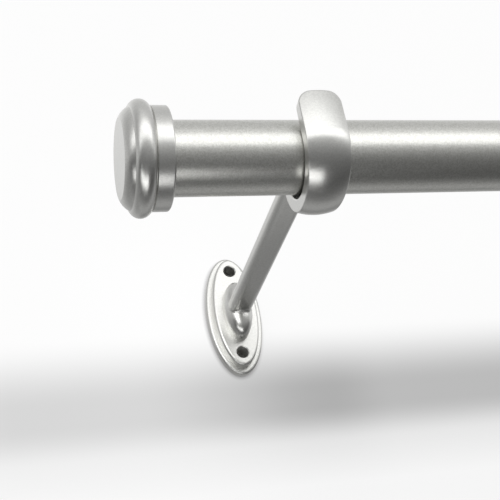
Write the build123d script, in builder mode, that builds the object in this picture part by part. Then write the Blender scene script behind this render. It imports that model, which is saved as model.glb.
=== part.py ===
"""An adjustable curtain rod on two cast wall brackets, in millimetres.

X runs along the rod, Y points at the wall and Z is up. The origin is on the wall,
midway between the two screw holes of the left wall plate.
"""

import os
from math import cos, radians, sin, tan

from build123d import *

# Rod: two steel tubes, the thinner one sliding in the thicker one
outer_od = 25.4
outer_wall = 0.8
inner_wall = 0.8
tube_gap = 0.8  # between the tubes, filled by the nylon guides
closed_run = 711.2  # rod between the two caps' collars, pushed right in
push_in = 50.8  # how far it is drawn out here
closed_gap = 12.35  # what the thin tube's two ends stay clear by when pushed in

# End cap: one turned casting, its outline measured from its flat face
cap_face_r = 13.4
shoulder_x = 3.0
shoulder_r = 16.9
shoulder_bulge = 0.4
bead_x = 6.5
bead_r = 19.45
groove_x = 9.8
groove_depth = 0.35
groove_width = 0.3
collar_r = 17.4
collar_round = 0.6
cap_length = 15.6
cap_web = 7.0  # solid metal behind the flat face

# Nylon plug, stud and filler ring that hold a cap on its tube
plug_flange = 1.2
plug_length = 16.0
plug_lip = 0.2  # flange stays this far inside the tube's own edge
stud_d = 6.0
stud_length = 18.0
stud_hole_depth = 4.6  # in the cap

# Nylon guides between the two tubes
mouth_bush_length = 12.0
mouth_bush_flange = 1.0
glide_length = 8.0
glide_tail = 12.0
glide_bore_d = 12.0

# Wall plate: two oval steps
plate_width = 25.0
plate_height = 58.0
base_step = 3.2
top_step = 4.0
step_rim = 2.6
step_round = 1.1
wall_hole_d = 5.2
wall_hole_from_end = 8.8
wall_hole_round = 0.4

# Bracket casting: an open cradle, a straight arm and a domed foot
rod_to_wall = 133.0
rod_below_plate = 3.5  # rod's axis under the plate's middle
bracket_inset = 50.2  # cap's collar to the middle of the cradle
cradle_front_width = 15.3
cradle_back_width = 11.4
cradle_drop = 1.2  # centre of the cradle's round bottom under the rod's axis
cradle_front_wall = 4.4
cradle_back_wall = 4.0
cradle_crown = 1.5
cradle_edge_round = 0.5
lip_top = 14.2  # above the rod's axis
lip_lean = 0.6  # how far the inner face leans out at the tip
lip_lean_from = -1.0
lip_corner = 4.4
arm_below_plate = 1.3  # arm's middle under the plate's middle
arm_width = 10.2
arm_thickness = 6.6
arm_round = 2.6
foot_width = 12.6
foot_height = 27.4
foot_depth = 10.0
foot_steps = 6
foot_buried = 84.0  # degrees round the dome where it ends, inside the arm
foot_fullness = 0.7  # 1 is a plain half egg, less has steeper flanks
foot_blend = 1.5

# Screws: one machine screw from behind each plate, one grub screw in each cradle
arm_screw_d = 4.0
arm_screw_head_d = 7.6
arm_screw_length = 14.0
arm_screw_angle = 90.0  # of the countersunk head
arm_screw_tip_gap = 1.0
arm_screw_recess = 2.2  # width of the cross in the head
arm_screw_recess_depth = 1.2
grub_d = 4.0
grub_length = 6.0
grub_socket = 2.0
grub_socket_depth = 2.4
grub_angle = 35.0  # below the horizontal, from behind the rod

# Clearances
running = 0.08  # between sliding pieces, on the radius
seat = 0.05  # between pieces pushed or screwed together, on the radius
rest_gap = 0.3  # between the tube and the cradle's walls

# Places that follow from the sizes
outer_r = outer_od / 2
outer_bore_r = outer_r - outer_wall
inner_r = outer_bore_r - tube_gap
inner_bore_r = inner_r - inner_wall
cradle_r = outer_r + rest_gap
tube_from_face = cap_web + plug_flange
left_face = -bracket_inset - cap_length
right_bracket = closed_run + push_in - 2 * bracket_inset
right_face = right_bracket + bracket_inset + cap_length
cradle_side = right_bracket - cradle_front_width / 2
mouth = cradle_side - push_in - closed_gap - mouth_bush_flange
glide_end = left_face + cap_web + plug_length + closed_gap + push_in
inner_end = glide_end + glide_length
wall_hole_spacing = plate_height - 2 * wall_hole_from_end
plateau = base_step + top_step
rod_axis = Axis((0, -rod_to_wall, -rod_below_plate), (1, 0, 0))


def square_to_rod(x):
    """Plane across the rod at x, centred on its axis, with Y to its right and Z up."""
    return Plane(
        origin=(x, -rod_to_wall, -rod_below_plate), x_dir=(0, 1, 0), z_dir=(1, 0, 0)
    )


def along_rod(side):
    """Plane through the rod's axis, from the cap's face inwards; side 1 is left."""
    face = left_face if side == 1 else right_face
    return Plane(
        origin=(face, -rod_to_wall, -rod_below_plate),
        x_dir=(side, 0, 0),
        z_dir=(0, -side, 0),
    )


def on_wall(x, y):
    """Plane level with the wall at x, y behind it, with X to its right and Z up."""
    return Plane(origin=(x, y, 0), x_dir=(1, 0, 0), z_dir=(0, -1, 0))


def on_arm(x, y):
    """Plane across the arm at y, on its middle line, with X to its right and Z up."""
    return Plane(origin=(x, y, -arm_below_plate), x_dir=(1, 0, 0), z_dir=(0, -1, 0))


def behind_arm(x, y):
    """The same plane, facing the wall."""
    return Plane(origin=(x, y, -arm_below_plate), x_dir=(1, 0, 0), z_dir=(0, 1, 0))


def tube(start, end, outside_r, bore_r):
    with BuildPart() as piece:
        with BuildSketch(square_to_rod(start)):
            Circle(outside_r)
            Circle(bore_r, mode=Mode.SUBTRACT)
        extrude(amount=end - start)
    return piece


def end_cap(side):
    with BuildPart() as piece:
        with BuildSketch(along_rod(side)):
            with BuildLine():
                Line((0, 0), (0, cap_face_r))
                SagittaArc((0, cap_face_r), (shoulder_x, shoulder_r), shoulder_bulge)
                ThreePointArc(
                    (shoulder_x, shoulder_r),
                    (bead_x, bead_r),
                    (groove_x, collar_r - groove_depth),
                )
                Line(
                    (groove_x, collar_r - groove_depth),
                    (groove_x + groove_width, collar_r),
                )
                Line(
                    (groove_x + groove_width, collar_r),
                    (cap_length - collar_round, collar_r),
                )
                RadiusArc(
                    (cap_length - collar_round, collar_r),
                    (cap_length, collar_r - collar_round),
                    collar_round,
                )
                Polyline(
                    (cap_length, collar_r - collar_round),
                    (cap_length, outer_r + seat),
                    (cap_web, outer_r + seat),
                    (cap_web, 0),
                    (0, 0),
                )
            make_face()
        revolve(axis=rod_axis)
        with BuildSketch(along_rod(side)):
            with Locations((cap_web - stud_hole_depth, 0)):
                Rectangle(
                    stud_hole_depth, stud_d / 2 + seat, align=(Align.MIN, Align.MIN)
                )
        revolve(axis=rod_axis, mode=Mode.SUBTRACT)
    return piece


def turned(side, start, end, outside_r, bore_r=0.0, flange_r=0.0, flange=0.0):
    """A turned sleeve between two distances from the cap's face, with a flange first."""
    with BuildPart() as piece:
        with BuildSketch(along_rod(side)):
            with Locations((start, bore_r)):
                Rectangle(end - start, outside_r - bore_r, align=(Align.MIN, Align.MIN))
            if flange:
                with Locations((start, bore_r)):
                    Rectangle(flange, flange_r - bore_r, align=(Align.MIN, Align.MIN))
        revolve(axis=rod_axis)
    return piece


def wall_plate(x):
    with BuildPart() as piece:
        with BuildSketch(on_wall(x, 0)):
            Ellipse(plate_width / 2, plate_height / 2)
        extrude(amount=base_step)
        fillet(piece.faces().sort_by(Axis.Y)[0].edges(), step_round)
        with BuildSketch(on_wall(x, -base_step)):
            Ellipse(plate_width / 2 - step_rim, plate_height / 2 - step_rim)
        extrude(amount=top_step)
        fillet(piece.faces().sort_by(Axis.Y)[0].edges(), step_round)
        with Locations(on_wall(x, -plateau)):
            with GridLocations(0, wall_hole_spacing, 1, 2):
                Hole(wall_hole_d / 2)
        rims = piece.faces().sort_by(Axis.Y)[0].inner_wires().edges()
        chamfer(rims, wall_hole_round)
        with Locations(behind_arm(x, 0)):
            CounterSinkHole(
                arm_screw_d / 2 + seat,
                arm_screw_head_d / 2 + seat,
                counter_sink_angle=arm_screw_angle,
            )
    return piece


def towards_wall(edge):
    """Whether an edge runs at the wall, to within ten degrees."""
    return abs(edge.tangent_at(0.5).Y) > cos(radians(10))


def bracket_arm(x):
    """Cradle, arm and foot in one casting, on its own middle plane at x."""
    half = cradle_front_width / 2
    back_half = cradle_back_width / 2
    rim_r = cradle_r + (cradle_front_wall + cradle_back_wall) / 2
    crown_r = rim_r + cradle_crown
    shift = (cradle_back_wall - cradle_front_wall) / 2
    centre = (x, -rod_to_wall + shift, -rod_below_plate - cradle_drop)
    level = Plane(origin=centre, x_dir=(1, 0, 0), z_dir=(0, 0, 1))
    arm_end = -rod_to_wall + cradle_r + cradle_back_wall / 2
    above = lip_top + cradle_crown
    with BuildPart() as piece:
        # Upright walls, crowned across their width
        with BuildSketch(level):
            with BuildLine():
                ThreePointArc((-half, -rim_r), (0, -crown_r), (half, -rim_r))
                Line((half, -rim_r), (half, rim_r))
                ThreePointArc((half, rim_r), (0, crown_r), (-half, rim_r))
                Line((-half, rim_r), (-half, -rim_r))
            make_face()
        extrude(amount=lip_top + cradle_drop)
        # Round bottom, the same crowned section turned half round
        with BuildSketch(level):
            with BuildLine():
                ThreePointArc((-half, -rim_r), (0, -crown_r), (half, -rim_r))
                Polyline((half, -rim_r), (half, 0), (-half, 0), (-half, -rim_r))
            make_face()
        revolve(axis=Axis(centre, (1, 0, 0)), revolution_arc=180)
        # Sides draw in from the lip to the arm
        with BuildSketch(Plane(origin=(x, -rod_to_wall + shift, 0), z_dir=(0, 0, 1))):
            Polygon(
                (-half, -crown_r),
                (half, -crown_r),
                (back_half, crown_r),
                (-back_half, crown_r),
                align=None,
            )
        extrude(amount=crown_r * 2, both=True, mode=Mode.INTERSECT)
        # Open inside of the cradle, its front wall leaning out to the tip
        with BuildSketch(square_to_rod(x - half)):
            with BuildLine():
                lean = TangentArc(
                    (-cradle_r, lip_lean_from),
                    (-cradle_r - lip_lean, lip_top),
                    tangent=(0, 1),
                )
                Polyline(
                    lean @ 1,
                    (-cradle_r - lip_lean, above),
                    (cradle_r, above),
                    (cradle_r, -cradle_drop),
                )
                ThreePointArc(
                    (cradle_r, -cradle_drop),
                    (0, -cradle_drop - cradle_r),
                    (-cradle_r, -cradle_drop),
                )
                Line((-cradle_r, -cradle_drop), (-cradle_r, lip_lean_from))
            make_face()
        extrude(amount=cradle_front_width, mode=Mode.SUBTRACT)
        # Round corners at both tips, soft edges all round the rims
        tips = piece.faces().filter_by(Axis.Z).sort_by(Axis.Z)[-2:]
        fillet(tips.edges().filter_by(towards_wall), lip_corner)
        across = piece.faces().sort_by(Axis.X)
        fillet(across[0].edges() + across[-1].edges(), cradle_edge_round)
        # Arm from the plate into the cradle's back wall
        with BuildSketch(on_arm(x, -plateau)):
            RectangleRounded(arm_width, arm_thickness, arm_round)
        extrude(amount=-plateau - arm_end)
        # Domed foot, oval sections that draw in round the dome until they lie in the arm
        for step in range(foot_steps + 1):
            turn = radians(foot_buried * step / foot_steps)
            out = foot_depth * sin(turn) ** foot_fullness
            inwards = cos(turn) ** foot_fullness
            with BuildSketch(on_arm(x, -plateau - out)):
                Ellipse(foot_width / 2 * inwards, foot_height / 2 * inwards)
        loft()
        # Soft blend where the arm rises out of the dome
        seam = piece.edges().filter_by_position(
            Axis.Y, -plateau - foot_depth, -plateau, inclusive=(False, False)
        )
        fillet(seam, foot_blend)
        # Threaded holes for the screw behind the plate and for the grub screw
        with Locations(behind_arm(x, -plateau)):
            Hole(
                arm_screw_d / 2 + seat,
                depth=arm_screw_length - plateau + arm_screw_tip_gap,
            )
        with BuildSketch(grub_plane(x)):
            Circle(grub_d / 2 + seat)
        extrude(amount=crown_r * 2, mode=Mode.SUBTRACT)
    return piece


def grub_plane(x):
    """Plane at the rod's axis that faces out along the grub screw."""
    angle = radians(grub_angle)
    return Plane(
        origin=(x, -rod_to_wall, -rod_below_plate),
        x_dir=(1, 0, 0),
        z_dir=(0, cos(angle), -sin(angle)),
    )


def arm_screw(x):
    """Countersunk machine screw, driven from behind the plate."""
    head_r = arm_screw_head_d / 2
    shank_r = arm_screw_d / 2
    cone = (head_r - shank_r) / tan(radians(arm_screw_angle / 2))
    with BuildPart() as piece:
        with BuildSketch(Plane(origin=(x, -seat, -arm_below_plate), z_dir=(0, 0, 1))):
            Polygon(
                (0, 0),
                (head_r, 0),
                (shank_r, -cone),
                (shank_r, -arm_screw_length),
                (0, -arm_screw_length),
                align=None,
            )
        revolve(axis=Axis((x, 0, -arm_below_plate), (0, 1, 0)))
        with BuildSketch(on_arm(x, -seat)):
            Rectangle(head_r, arm_screw_recess / 2)
            Rectangle(arm_screw_recess / 2, head_r)
        extrude(amount=arm_screw_recess_depth, mode=Mode.SUBTRACT)
    return piece


def grub_screw(x, tube_r):
    """Headless screw whose tip presses the tube towards the cradle's lip."""
    with BuildPart() as piece:
        with BuildSketch(grub_plane(x).offset(tube_r + seat)):
            Circle(grub_d / 2)
        extrude(amount=grub_length)
        with BuildSketch(grub_plane(x).offset(tube_r + seat + grub_length)):
            RegularPolygon(grub_socket / 2, 6, major_radius=False)
        extrude(amount=-grub_socket_depth, mode=Mode.SUBTRACT)
    return piece


def keep(name, piece):
    piece.part.label = name
    export_step(piece.part, f"parts/{name}.step")


os.makedirs("parts", exist_ok=True)

keep("outer_tube", tube(left_face + tube_from_face, mouth, outer_r, outer_bore_r))
keep("inner_tube", tube(inner_end, right_face - tube_from_face, inner_r, inner_bore_r))

for name, side, tube_r, bore_r in (
    ("left", 1, outer_r, outer_bore_r),
    ("right", -1, inner_r, inner_bore_r),
):
    stud_start = cap_web - stud_hole_depth + seat
    keep(f"{name}_end_cap", end_cap(side))
    keep(
        f"{name}_cap_stud",
        turned(side, stud_start, stud_start + stud_length, stud_d / 2),
    )
    keep(
        f"{name}_tube_plug",
        turned(
            side,
            cap_web,
            cap_web + plug_length,
            bore_r - seat,
            stud_d / 2 + seat,
            tube_r - plug_lip,
            plug_flange,
        ),
    )

# Ring that fills the right cap's bore around the thinner tube
keep(
    "cap_filler_ring",
    turned(-1, tube_from_face, cap_length - plug_lip, outer_r, inner_r + seat),
)

# Guides: one fixed in the thick tube's mouth, one on the thin tube's hidden end
keep(
    "mouth_bush",
    turned(
        -1,
        right_face - mouth - mouth_bush_flange,
        right_face - mouth + mouth_bush_length,
        outer_bore_r - seat,
        inner_r + running,
        outer_r - plug_lip,
        mouth_bush_flange,
    ),
)

keep(
    "glide",
    turned(
        1,
        glide_end - left_face,
        inner_end - left_face + glide_tail,
        inner_bore_r - seat,
        glide_bore_d / 2,
        outer_bore_r - running,
        glide_length,
    ),
)

for name, x, tube_r in (("left", 0.0, outer_r), ("right", right_bracket, inner_r)):
    keep(f"{name}_wall_plate", wall_plate(x))
    keep(f"{name}_bracket_arm", bracket_arm(x))
    keep(f"{name}_arm_screw", arm_screw(x))
    keep(f"{name}_grub_screw", grub_screw(x, tube_r))
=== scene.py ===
from math import cos, pi, radians, sin

import bpy
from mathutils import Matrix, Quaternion, Vector


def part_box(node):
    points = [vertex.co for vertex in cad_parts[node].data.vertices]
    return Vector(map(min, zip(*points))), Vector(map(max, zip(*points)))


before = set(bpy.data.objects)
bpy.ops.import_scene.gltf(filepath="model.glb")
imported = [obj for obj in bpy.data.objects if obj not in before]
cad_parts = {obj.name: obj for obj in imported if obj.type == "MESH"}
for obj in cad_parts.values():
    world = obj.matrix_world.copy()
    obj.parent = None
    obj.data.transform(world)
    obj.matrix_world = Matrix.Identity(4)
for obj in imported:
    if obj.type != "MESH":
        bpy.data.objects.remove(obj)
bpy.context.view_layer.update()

# Steel tubes. Two thin-walled steel tubes, one sliding in the other, roll-formed,
# polished and then sprayed with a lacquer full of fine aluminium fleck, which
# gives the soft silver sheen and the faint speckle called satin nickel.
MM = 0.001
tube_tones = ("#C6C6C1", "#DBDBD7")  # of the darkest and the lightest fleck
tube_roughness = 0.3
fleck_size = 0.4 * MM  # real fleck is about 0.05 mm, drawn coarser so that it shows
tube_fleck = 0.012 * MM  # how far the fleck stands out
spray_ripple = 4.0 * MM  # from one soft swell of the lacquer to the next
spray_height = 0.01 * MM
streak_width = 0.6 * MM  # of the polishing streaks, which show on the brackets alone
streak_length = 12 * MM


def colour(hex_code):
    """An sRGB hex colour as the linear colour that a shader takes."""
    channels = [int(hex_code[i:i + 2], 16) / 255 for i in (1, 3, 5)]
    linear = [c / 12.92 if c <= 0.04045 else ((c + 0.055) / 1.055) ** 2.4 for c in channels]
    return (*linear, 1.0)


def add_node(tree, kind, settings=None, inputs=None):
    """Add a shader node with its settings, and with values or links for its inputs."""
    node = tree.nodes.new(kind)
    for name, value in (settings or {}).items():
        setattr(node, name, value)
    for socket, value in (inputs or {}).items():
        if isinstance(value, bpy.types.NodeSocket):
            tree.links.new(value, node.inputs[socket])
        else:
            node.inputs[socket].default_value = value
    return node


def maths(tree, operation, first, second):
    """One sum, product or other result of two numbers."""
    return add_node(
        tree, "ShaderNodeMath", {"operation": operation}, {0: first, 1: second}
    ).outputs[0]


def new_material(name):
    """An empty node material."""
    material = bpy.data.materials.new(name)
    material.use_nodes = True
    material.node_tree.nodes.clear()
    return material


def sprayed_nickel(name, tones, roughness, fleck_height, ripple_height, streak_height=0.0):
    """Fleck lacquer sprayed on metal, over the streaks that polishing left up and down."""
    material = new_material(name)
    tree = material.node_tree
    streak_scale = (1 / streak_width, 1 / streak_width, 1 / streak_length)
    place = add_node(tree, "ShaderNodeTexCoord").outputs["Object"]
    fleck = add_node(
        tree, "ShaderNodeTexVoronoi", {"feature": "F1"}, {"Vector": place, "Scale": 1 / fleck_size}
    )
    fleck_grey = add_node(tree, "ShaderNodeSeparateColor", None, {"Color": fleck.outputs["Color"]})
    tone = add_node(
        tree, "ShaderNodeMix", {"data_type": "RGBA"}, {"Factor": fleck_grey.outputs["Red"]}
    )
    tone.inputs["A"].default_value = colour(tones[0])
    tone.inputs["B"].default_value = colour(tones[1])
    ripple = add_node(
        tree, "ShaderNodeTexNoise", None,
        {"Vector": place, "Scale": 1 / spray_ripple, "Detail": 2.0},
    )
    swell = add_node(
        tree, "ShaderNodeBump", None,
        {"Height": ripple.outputs["Fac"], "Distance": ripple_height, "Strength": 1.0},
    )
    swell.name = "swell"
    drawn = add_node(
        tree, "ShaderNodeVectorMath", {"operation": "MULTIPLY"}, {0: place, 1: streak_scale}
    )
    streak = add_node(
        tree, "ShaderNodeTexNoise", None, {"Vector": drawn.outputs[0], "Scale": 1.0, "Detail": 3.0}
    )
    polish = add_node(
        tree, "ShaderNodeBump", None,
        {
            "Height": streak.outputs["Fac"],
            "Distance": streak_height,
            "Strength": 1.0,
            "Normal": swell.outputs["Normal"],
        },
    )
    grain = add_node(
        tree, "ShaderNodeBump", None,
        {
            "Height": fleck_grey.outputs["Green"],
            "Distance": fleck_height,
            "Strength": 1.0,
            "Normal": polish.outputs["Normal"],
        },
    )
    paint = add_node(
        tree, "ShaderNodeBsdfPrincipled", None,
        {
            "Base Color": tone.outputs["Result"],
            "Metallic": 1.0,
            "Roughness": roughness,
            "Normal": grain.outputs["Normal"],
        },
    )
    add_node(tree, "ShaderNodeOutputMaterial", None, {"Surface": paint.outputs["BSDF"]})
    return material


def finish(nodes, material):
    """Give the named CAD nodes this material."""
    for node in nodes:
        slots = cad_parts[node].data.materials
        slots.clear()
        slots.append(material)


finish(
    ["outer_tube", "inner_tube"],
    sprayed_nickel(
        "sprayed_nickel_on_steel_tube", tube_tones, tube_roughness, tube_fleck, spray_height
    ),
)

# End caps. Turned zinc castings with a flat face, a shoulder, a round bead and a
# collar, sprayed with the same lacquer, which lies smoother on them.
cast_tones = ("#CDCDCA", "#D8D8D5")
cap_roughness = 0.29
cap_fleck = 0.004 * MM  # how far the fleck stands out
cap_ripple = 0.003 * MM  # how high the lacquer swells
finish(
    ["left_end_cap", "right_end_cap"],
    sprayed_nickel(
        "sprayed_nickel_on_turned_cap", cast_tones, cap_roughness, cap_fleck, cap_ripple
    ),
)

# Brackets. Each is one zinc die casting, an open cradle on a straight arm with a
# domed foot, polished by hand up and down and sprayed. Its plate is left duller.
casting_roughness = 0.28
casting_fleck = 0.004 * MM
casting_ripple = 0.012 * MM
casting_streak = 0.005 * MM  # how deep the polishing streaks are
plate_roughness = 0.36
lip_middle = -4.7 * MM  # height where the lip's outer face stands upright
lip_tip = 10.7 * MM
lip_lean = radians(6.7)  # how far it leans back at its tip
tuck_height = -8.5 * MM
tuck = radians(6.0)  # how far it tucks in below that height
lip_from = -137 * MM  # the turn fades in between these two distances from the wall
lip_full = -143 * MM


def between(tree, value, low, high, at_low, at_high):
    """A number that runs from at_low to at_high while value runs from low to high."""
    return add_node(
        tree, "ShaderNodeMapRange", None,
        {"Value": value, "From Min": low, "From Max": high, "To Min": at_low, "To Max": at_high},
    ).outputs["Result"]


def lean_back(material):
    """Shade the lip's outer face as one arc, leant back at its tip and tucked in below."""
    tree = material.node_tree
    place = add_node(tree, "ShaderNodeTexCoord").outputs["Object"]
    axes = add_node(tree, "ShaderNodeSeparateXYZ", None, {"Vector": place})
    above = between(tree, axes.outputs["Z"], lip_middle, lip_tip, 0.0, -lip_lean)
    below = between(tree, axes.outputs["Z"], tuck_height, lip_middle, tuck, 0.0)
    share = between(tree, axes.outputs["Y"], lip_full, lip_from, 1.0, 0.0)
    turn = maths(tree, "MULTIPLY", maths(tree, "ADD", above, below), share)
    facing = add_node(tree, "ShaderNodeNewGeometry").outputs["Normal"]
    return add_node(
        tree, "ShaderNodeVectorRotate", {"rotation_type": "X_AXIS"}, {"Vector": facing, "Angle": turn}
    ).outputs["Vector"]


bracket_paint = sprayed_nickel(
    "sprayed_nickel_on_cast_bracket",
    cast_tones,
    casting_roughness,
    casting_fleck,
    casting_ripple,
    casting_streak,
)
swell = bracket_paint.node_tree.nodes["swell"]
bracket_paint.node_tree.links.new(lean_back(bracket_paint), swell.inputs["Normal"])
finish(["left_bracket_arm", "right_bracket_arm"], bracket_paint)
finish(
    ["left_wall_plate", "right_wall_plate"],
    sprayed_nickel(
        "sprayed_nickel_on_cast_plate",
        cast_tones,
        plate_roughness,
        casting_fleck,
        casting_ripple,
    ),
)

# Screws and studs. Steel, cold-headed and rolled, then zinc plated, which leaves a
# thin even skin, brighter and bluer than the lacquer.
zinc_plate = "#C9CBCC"
zinc_roughness = 0.3
plating = new_material("zinc_plated_steel")
skin = add_node(
    plating.node_tree, "ShaderNodeBsdfPrincipled", None,
    {"Base Color": colour(zinc_plate), "Metallic": 1.0, "Roughness": zinc_roughness},
)
add_node(
    plating.node_tree, "ShaderNodeOutputMaterial", None, {"Surface": skin.outputs["BSDF"]}
)
finish(
    [
        f"{side}_{piece}"
        for side in ("left", "right")
        for piece in ("arm_screw", "grub_screw", "cap_stud")
    ],
    plating,
)

# Plugs, ring and guides. Black nylon, injection moulded, dull and slightly waxy.
nylon_black = "#232322"
nylon_roughness = 0.5
nylon_ior = 1.53
nylon = new_material("moulded_nylon")
moulded = add_node(
    nylon.node_tree, "ShaderNodeBsdfPrincipled", None,
    {"Base Color": colour(nylon_black), "Roughness": nylon_roughness, "IOR": nylon_ior},
)
add_node(
    nylon.node_tree, "ShaderNodeOutputMaterial", None, {"Surface": moulded.outputs["BSDF"]}
)
finish(["left_tube_plug", "right_tube_plug", "cap_filler_ring", "mouth_bush", "glide"], nylon)

# Wall and floor. The pale wall that the plates stand on and a pale floor below. The
# wall is seen from its front only, and metal looks past both into the room's light.
paper_white = "#E9E9E7"
pure_white = "#FFFFFF"
wall_gap = 1.0 * MM  # behind the plates, so that no two faces lie in one plane
floor_height = -0.45
wall_top = 2.5
half_room = 3.0
floor_gap = 3.0 * MM  # between floor and wall, so that neither shades the other's edge
glow = 0.9  # share of its own white that the paper shows the camera


def sheet(name, corners, material):
    """One flat piece of the stage, its front on the side its corners run round."""
    mesh = bpy.data.meshes.new(name)
    mesh.from_pydata(corners, [], [range(len(corners))])
    flat = bpy.data.objects.new(name, mesh)
    bpy.context.scene.collection.objects.link(flat)
    mesh.materials.append(material)
    return flat


def one_sided(tree, front, pass_metal):
    """Show front from its own side, and nothing from behind or, if asked, to metal."""
    back = add_node(tree, "ShaderNodeNewGeometry").outputs["Backfacing"]
    if pass_metal:
        glossy = add_node(tree, "ShaderNodeLightPath").outputs["Is Glossy Ray"]
        back = maths(tree, "MAXIMUM", back, glossy)
    nothing = add_node(tree, "ShaderNodeBsdfTransparent").outputs[0]
    seen = add_node(tree, "ShaderNodeMixShader", None, {0: back, 1: front, 2: nothing})
    add_node(tree, "ShaderNodeOutputMaterial", None, {"Surface": seen.outputs[0]})


def papered(tree, own, shown):
    """Paper of its own colour that takes shadow, and for the most part shows another."""
    camera_ray = add_node(tree, "ShaderNodeLightPath").outputs["Is Camera Ray"]
    paper = add_node(tree, "ShaderNodeBsdfDiffuse", None, {"Color": own})
    lit = add_node(tree, "ShaderNodeEmission", None, {"Color": shown, "Strength": camera_ray})
    fill = add_node(
        tree, "ShaderNodeMixShader", None, {0: glow, 1: paper.outputs[0], 2: lit.outputs[0]}
    )
    one_sided(tree, fill.outputs[0], True)


floor_paper = new_material("pale_floor_paper")
papered(floor_paper.node_tree, colour(paper_white), colour(pure_white))
sheet(
    "pale_floor",
    [
        (-half_room, -half_room, floor_height),
        (half_room, -half_room, floor_height),
        (half_room, -floor_gap, floor_height),
        (-half_room, -floor_gap, floor_height),
    ],
    floor_paper,
)

# Painted shade on the wall: one soft darker band under the plates, deepest right of the left one.
band_top = -5.0 * MM
band_full = -37.0 * MM  # full depth from here down to the next height
band_full_low = -45.0 * MM
band_low = -62.0 * MM  # below this only a faint tail of the painted shade is left
shade_tail_high = -50.0 * MM
shade_tail_low = -80.0 * MM
shade_tail_most = 0.5  # share of the band's full depth that its faint tail of painted shade keeps at the higher of the two heights above
shade_tail_least = 0.1  # and at the lower one
depth_left = 0.30  # share of the light that the band takes, at the left
depth_right = 0.48
depth_from = -50.0 * MM
depth_to = 25.0 * MM
beside_depth = 0.07  # how much more it takes beside the left plate, a painted shadow of that plate
beside_from = -5.0 * MM
beside_most = 40.0 * MM
beside_to = 70.0 * MM
fade_left = (-260.0 * MM, -100.0 * MM)  # the band ends in these two stretches
fade_right = (300.0 * MM, 140.0 * MM)
plate_shade = 2.0 * MM  # how far the plates' edges shade the wall


def soft_edge(tree, value, start, end):
    """A number that eases from 0 at start to 1 at end."""
    return add_node(
        tree, "ShaderNodeMapRange", {"interpolation_type": "SMOOTHSTEP"},
        {"Value": value, "From Min": start, "From Max": end},
    ).outputs["Result"]


wall_with_painted_shade = new_material("pale_wall_with_painted_shade")
tree = wall_with_painted_shade.node_tree
place = add_node(tree, "ShaderNodeTexCoord").outputs["Object"]
axes = add_node(tree, "ShaderNodeSeparateXYZ", None, {"Vector": place})
height = axes.outputs["Z"]
along = axes.outputs["X"]
shade_tail = between(tree, height, shade_tail_low, shade_tail_high, shade_tail_least, shade_tail_most)
core = soft_edge(tree, height, band_low, band_full_low)
upper = soft_edge(tree, height, band_top, band_full)
down = maths(tree, "MULTIPLY", upper, between(tree, core, 0.0, 1.0, shade_tail, 1.0))
rightwards = soft_edge(tree, along, depth_from, depth_to)
depth = between(tree, rightwards, 0.0, 1.0, depth_left, depth_right)
near_side = soft_edge(tree, along, beside_from, beside_most)
far_side = soft_edge(tree, along, beside_to, beside_most)
beside = maths(tree, "MULTIPLY", maths(tree, "MULTIPLY", near_side, far_side), beside_depth)
in_left = between(tree, along, *fade_left, 0.0, 1.0)
in_right = between(tree, along, *fade_right, 0.0, 1.0)
inside = maths(tree, "MULTIPLY", in_left, in_right)
across = maths(tree, "MULTIPLY", maths(tree, "ADD", depth, beside), inside)
# The painted shade: what the band leaves of the light, times the contact shade that ambient occlusion
# paints near the plates' edges. It goes into the wall's own colour and into its glow.
left_over = maths(tree, "SUBTRACT", 1.0, maths(tree, "MULTIPLY", down, across))
unshaded = add_node(
    tree, "ShaderNodeAmbientOcclusion", None, {"Distance": plate_shade}
).outputs["AO"]
wall_tone = maths(tree, "MULTIPLY", left_over, unshaded)
papered(tree, wall_tone, wall_tone)
sheet(
    "pale_wall",
    [
        (-half_room, wall_gap, floor_height),
        (half_room, wall_gap, floor_height),
        (half_room, wall_gap, wall_top),
        (-half_room, wall_gap, wall_top),
    ],
    wall_with_painted_shade,
)

# Painted shade inside the left plate's screw holes: a patch of the wall right behind each, darker
# grey than the wall and without its glow, which shows inside them. The right plate travels with its
# end of the rod, so it has none.
hole_from_middle = 20.2 * MM  # above and below the middle of the plate
patch_radius = 3.6 * MM
patch_corners = 24
hole_shade_grey = "#8F8F8D"  # painted shade, darker than the wall, for the inside of a hole
hole_shade_sheet = new_material("painted_hole_shade")
hole_shade_paint = add_node(
    hole_shade_sheet.node_tree, "ShaderNodeBsdfDiffuse", None, {"Color": colour(hole_shade_grey)}
)
one_sided(hole_shade_sheet.node_tree, hole_shade_paint.outputs[0], False)
low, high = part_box("left_wall_plate")
middle = (low + high) / 2
turns = [2 * pi * corner / patch_corners for corner in range(patch_corners)]
for which, up in (("upper", hole_from_middle), ("lower", -hole_from_middle)):
    round_edge = [
        (
            middle.x + patch_radius * cos(turn),
            wall_gap / 2,
            middle.z + up + patch_radius * sin(turn),
        )
        for turn in turns
    ]
    sheet(f"{which}_hole_shade_sheet", round_edge, hole_shade_sheet)

# The wall's painted shade band as the arm's underside mirrors it. Metal looks past the wall itself,
# so this dim glowing strip, seen by metal alone, paints that shade into reflections.
strip_left = -60.0 * MM
strip_right = 150.0 * MM
strip_low = -62.0 * MM
strip_high = -15.0 * MM
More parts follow.
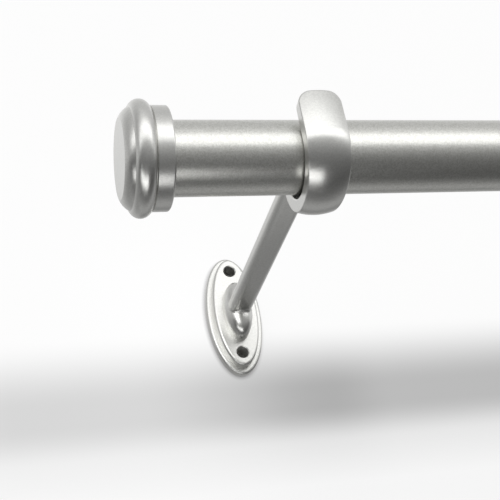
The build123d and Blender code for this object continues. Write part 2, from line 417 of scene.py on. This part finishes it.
# how bright the strip glows, a painted reflection of the shade band
strip_tone = 0.28
close_by = 5.0 * MM  # the plates' backs, nearer to it than this, don't see it
shade_for_reflections = new_material("painted_shade_seen_by_metal")
tree = shade_for_reflections.node_tree
distance = add_node(tree, "ShaderNodeLightPath").outputs["Ray Length"]
near = maths(tree, "LESS_THAN", distance, close_by)
dim = add_node(
    tree, "ShaderNodeEmission", None, {"Color": colour(pure_white), "Strength": strip_tone}
)
nothing = add_node(tree, "ShaderNodeBsdfTransparent").outputs[0]
seen = add_node(tree, "ShaderNodeMixShader", None, {0: near, 1: dim.outputs[0], 2: nothing})
add_node(tree, "ShaderNodeOutputMaterial", None, {"Surface": seen.outputs[0]})
strip = sheet(
    "painted_shade_strip",
    [
        (strip_left, wall_gap / 2, strip_low),
        (strip_right, wall_gap / 2, strip_low),
        (strip_right, wall_gap / 2, strip_high),
        (strip_left, wall_gap / 2, strip_high),
    ],
    shade_for_reflections,
)
strip.visible_camera = False
strip.visible_diffuse = False
strip.visible_transmission = False
strip.visible_shadow = False

# Room light. What metal sees of a white studio changes with the angle round the
# rod: pale above and behind, a bright wall of light ahead, and dim below.
def tone_curve(tree, value, points):
    """The grey at value, read from a row of (place, grey) points."""
    first, last = points[0][0], points[-1][0]
    along = between(tree, value, first, last, 0.0, 1.0)
    curve = add_node(tree, "ShaderNodeValToRGB", None, {"Fac": along})
    stops = curve.color_ramp.elements
    while len(stops) < len(points):
        stops.new(0.5)
    for stop, (place, grey) in zip(stops, points):
        stop.position = (place - first) / (last - first)
        stop.color = (grey, grey, grey, 1.0)
    return curve.outputs["Color"]


world = bpy.data.worlds.new("studio")
bpy.context.scene.world = world
world.use_nodes = True
tree = world.node_tree
tree.nodes.clear()
room = (  # degrees round the rod, from the viewer's side upwards, and light from there
    (-180, 0.50), (-163, 0.38), (-150, 0.48), (-134, 0.38), (-124, 0.22), (-108, 0.11),
    (-90, 0.10), (-75, 0.13), (-60, 0.15), (-45, 0.18), (-30, 0.26), (-15, 0.39),
    (0, 0.56), (12, 0.92), (50, 0.92), (68, 0.72), (85, 0.67), (110, 0.76),
    (138, 1.10), (151, 0.80), (166, 0.60), (180, 0.50),
)
room_side = (  # how far a look leads to the right, and the share of that light there
    (-1.0, 0.7), (-0.7, 0.75), (-0.45, 0.9), (-0.25, 1.0), (1.0, 1.0),
)
direction = add_node(tree, "ShaderNodeTexCoord").outputs["Generated"]
axes = add_node(tree, "ShaderNodeSeparateXYZ", None, {"Vector": direction})
ahead = maths(tree, "MULTIPLY", axes.outputs["Y"], -1.0)
angle = maths(tree, "ARCTAN2", axes.outputs["Z"], ahead)
turned = add_node(tree, "ShaderNodeMath", {"operation": "DEGREES"}, {0: angle}).outputs[0]
camera_ray = add_node(tree, "ShaderNodeLightPath").outputs["Is Camera Ray"]
room_light = add_node(
    tree, "ShaderNodeBackground", None,
    {
        "Color": tone_curve(tree, turned, room),
        "Strength": tone_curve(tree, axes.outputs["X"], room_side),
    },
)
white = add_node(
    tree, "ShaderNodeBackground", None, {"Color": colour(pure_white), "Strength": 1.0}
)
either = add_node(
    tree, "ShaderNodeMixShader", None,
    {0: camera_ray, 1: room_light.outputs[0], 2: white.outputs[0]},
)
add_node(tree, "ShaderNodeOutputWorld", None, {"Surface": either.outputs[0]})


# Lamps. A wide softbox ahead of the rod, whose lower edge ends the bright band on
# the bracket, one low on the left, which lights the rounds from below, and a small
# one near the wall that puts the spot of light on the left bracket's foot.
def soft_lamp(name, at, aim, width, height, radiance):
    """A rectangular lamp of one even brightness, where 1 is that of white paper."""
    lamp = bpy.data.lights.new(name, "AREA")
    lamp.shape = "RECTANGLE"
    lamp.size = width
    lamp.size_y = height
    lamp.energy = radiance * pi * width * height
    holder = bpy.data.objects.new(name, lamp)
    holder.location = at
    holder.rotation_euler = (Vector(aim) - Vector(at)).to_track_quat("-Z", "Y").to_euler()
    holder.visible_camera = False
    bpy.context.scene.collection.objects.link(holder)


low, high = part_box("outer_tube")
rod_y = (low.y + high.y) / 2
foot_spot = (-0.002, -0.016, -0.007)  # on the left side of the domed foot
soft_lamp(
    "softbox", at=(-1.15, -1.63, 0.74), aim=(-1.15, rod_y, 0.74),
    width=6.9, height=1.22, radiance=0.95,
)
soft_lamp(
    "low_softbox", at=(-0.41, -0.21, -0.42), aim=(-0.41, rod_y, 0.0),
    width=0.88, height=0.18, radiance=1.8,
)
soft_lamp(
    "foot_lamp", at=(-0.036, -0.065, -0.013), aim=foot_spot,
    width=0.04, height=0.04, radiance=2.0,
)

# Camera. Below the rod and past its left end, looking up and along it at the left
# bracket, and turned a little, so that the rod lies level in the picture.
camera_at = Vector((-0.1087, -0.39243, -0.18254))
camera_aim = Vector((-0.02768, -0.133, -0.0387))
camera_roll = radians(10.28)
sensor_width = 36.0  # in millimetres, as Blender takes it
focal_length = 70.01
nearest = 0.01  # in metres, because the camera stands close to the bracket
lens = bpy.data.cameras.new("camera")
lens.sensor_width = sensor_width
lens.lens = focal_length
lens.clip_start = nearest
camera = bpy.data.objects.new("camera", lens)
camera.location = camera_at
level = (camera_aim - camera_at).to_track_quat("-Z", "Y")
camera.rotation_mode = "QUATERNION"
camera.rotation_quaternion = level @ Quaternion((0, 0, 1), -camera_roll)
bpy.context.scene.collection.objects.link(camera)
bpy.context.scene.camera = camera

bpy.context.scene.view_settings.view_transform = "Standard"
